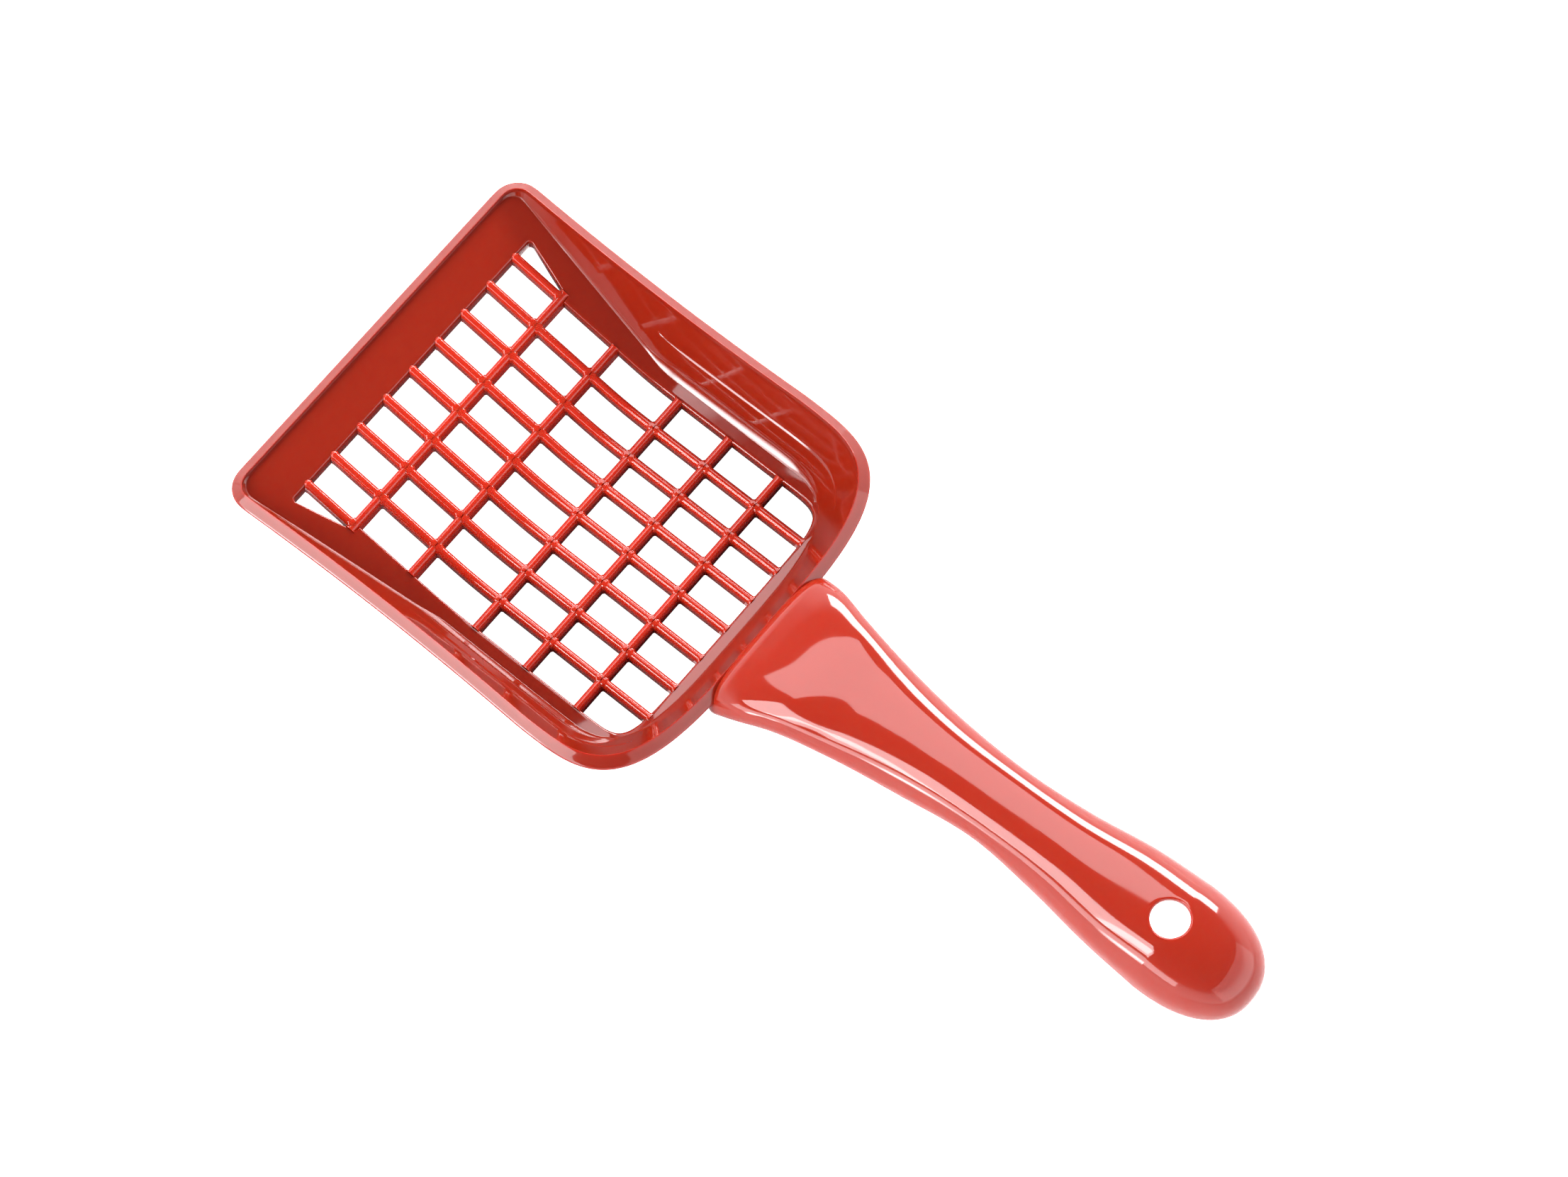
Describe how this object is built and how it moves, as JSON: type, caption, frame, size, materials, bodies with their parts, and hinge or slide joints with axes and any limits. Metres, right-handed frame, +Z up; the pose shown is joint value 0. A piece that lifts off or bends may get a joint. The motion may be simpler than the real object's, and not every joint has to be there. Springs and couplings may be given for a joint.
{
  "type": "litter scoop",
  "caption": "One-piece plastic litter scoop: a shallow slotted pan with a ramped front edge and rounded rim, and an arched handle with a hanging hole.",
  "frame": {"origin": "centre of the bounding box in X and Y, on the surface that the scoop's bars rest on", "axes": "+Y along the scoop towards the handle's end, +Z up out of the open pan, +X to the left of someone who holds the handle"},
  "size_m": [0.1186, 0.2944, 0.0488],
  "materials": {
    "red_plastic": "smooth glossy red moulded plastic"
  },
  "bodies": {
    "root": {"corner_left": "red_plastic", "corner_right": "red_plastic", "cross_bar_1": "red_plastic", "cross_bar_2": "red_plastic", "cross_bar_3": "red_plastic", "cross_bar_4": "red_plastic", "cross_bar_5": "red_plastic", "floor_left": "red_plastic", "floor_rear": "red_plastic", "floor_right": "red_plastic", "front_lip": "red_plastic", "front_plate": "red_plastic", "handle_grip": "red_plastic", "handle_neck": "red_plastic", "handle_root": "red_plastic", "long_bar_1": "red_plastic", "long_bar_2": "red_plastic", "long_bar_3": "red_plastic", "long_bar_4": "red_plastic", "long_bar_5": "red_plastic", "long_bar_6": "red_plastic", "long_bar_7": "red_plastic", "long_bar_8": "red_plastic", "long_bar_9": "red_plastic", "rim_left": "red_plastic", "rim_right": "red_plastic", "wall_left": "red_plastic", "wall_rear": "red_plastic", "wall_right": "red_plastic"}
  },
  "joints": []
}
